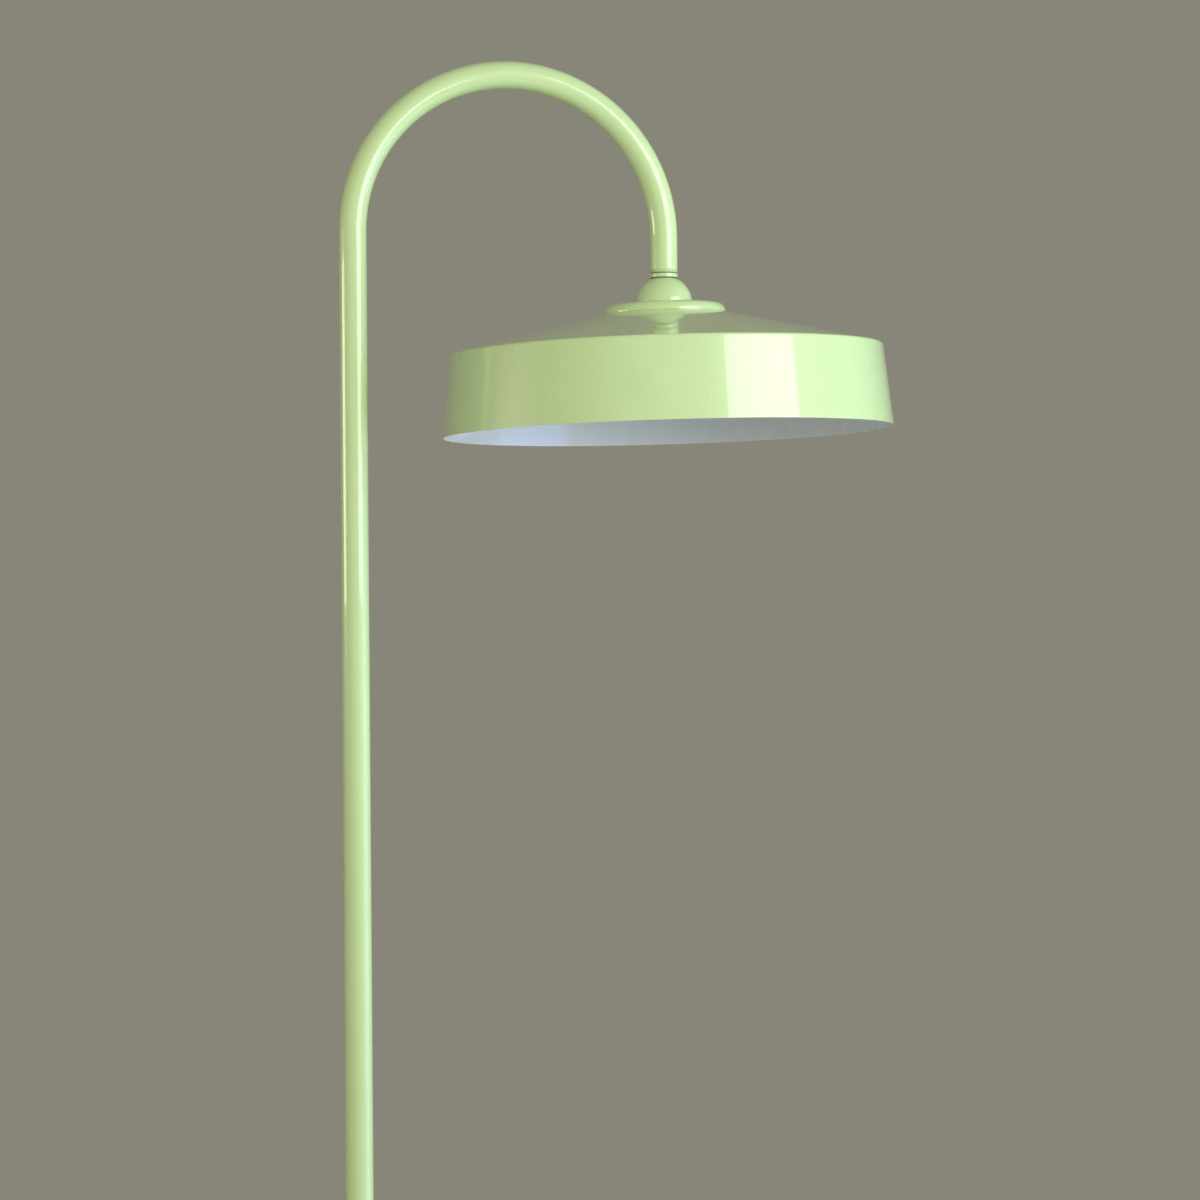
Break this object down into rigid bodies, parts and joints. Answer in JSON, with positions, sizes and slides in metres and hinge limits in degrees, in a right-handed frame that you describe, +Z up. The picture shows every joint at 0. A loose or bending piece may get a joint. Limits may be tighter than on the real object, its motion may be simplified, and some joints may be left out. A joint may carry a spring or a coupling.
{
  "type": "adjustable arm floor lamp",
  "caption": "Slim gloss-lacquered floor lamp with a hook-shaped swivelling arm and a wide shallow shade on a tilting ball joint.",
  "frame": {"origin": "centre of the base's underside, on the floor, on the pole's axis", "axes": "+Z up along the pole, +X from the pole towards the shade"},
  "size_m": [0.7084, 0.46, 1.85],
  "materials": {
    "green_lacquer": "high-gloss pale green lacquer",
    "shade_lacquer": "high-gloss pale green lacquer outside, gloss white inside",
    "base_iron": "as cast, black primed",
    "felt": "pressed felt",
    "zinc_steel": "bright zinc plate",
    "spring_steel": "hardened spring steel",
    "black_nylon": "moulded nylon, matte",
    "white_nylon": "natural nylon, matte",
    "black_plastic": "satin black moulding",
    "holder_plastic": "white thermoset, satin",
    "rubber": "moulded rubber",
    "lead_sheath": "smooth sheath",
    "brass": "bright pressed brass",
    "bulb_glass": "opal glass, satin"
  },
  "bodies": {
    "base": {"base_pad": "felt", "base_weight": "base_iron", "base_cover": "green_lacquer", "cover_screws": "zinc_steel", "pole_spigot": "zinc_steel", "spigot_screws": "zinc_steel", "spigot_nut": "zinc_steel", "pole_collar": "green_lacquer", "cable_grommet": "rubber", "button_bezel": "black_plastic", "switch_body": "black_nylon", "button_spring": "spring_steel", "terminal_block": "holder_plastic", "base_lead": "lead_sheath", "switch_lead": "lead_sheath"},
    "button": {"foot_button": "black_plastic"},
    "arm": {"thrust_washer": "white_nylon", "lower_pole": "green_lacquer", "lower_bush": "white_nylon", "upper_bush": "white_nylon", "pole_coupler": "zinc_steel", "arm_tube": "green_lacquer", "tube_end_bush": "zinc_steel", "arm_lead": "lead_sheath"},
    "knuckle": {"swivel_stem": "zinc_steel", "stem_top_washer": "white_nylon", "stem_top_nut": "zinc_steel", "upper_washer": "black_nylon", "swivel_ring": "green_lacquer", "lower_washer": "black_nylon", "inner_cup": "zinc_steel", "disc_springs": "spring_steel", "clamp_nut": "zinc_steel", "knuckle_lead": "lead_sheath"},
    "head": {"dome_cap": "green_lacquer", "collar_disc": "green_lacquer", "dome_screws": "zinc_steel", "shade": "shade_lacquer", "shade_ring": "black_nylon", "holder_nipple": "zinc_steel", "nipple_nut": "zinc_steel", "holder_cap": "holder_plastic", "holder_body": "holder_plastic", "holder_shell": "brass", "holder_contact": "brass", "bulb_cap": "zinc_steel", "bulb_globe": "bulb_glass", "head_lead": "lead_sheath"}
  },
  "joints": [
    {"name": "arm_swivel", "type": "hinge", "parent": "base", "child": "arm", "pos_m": [0, 0, 0.0255], "axis": [0, 0, 1], "range_deg": [-170, 170]},
    {"name": "head_swivel", "type": "hinge", "parent": "arm", "child": "knuckle", "pos_m": [0.324, 0, 1.638], "axis": [0, 0, 1], "range_deg": [-170, 170]},
    {"name": "shade_tilt", "type": "hinge", "parent": "knuckle", "child": "head", "pos_m": [0.324, 0, 1.60636], "axis": [1, 0, 0], "range_deg": [0, 35]},
    {"name": "foot_button", "type": "slide", "parent": "base", "child": "button", "axis": [0, 0, -1], "range_m": [0, 0.0035], "stiffness_N_per_m": 1500, "springref_m": -0.002, "deforming": ["button_spring"]}
  ]
}
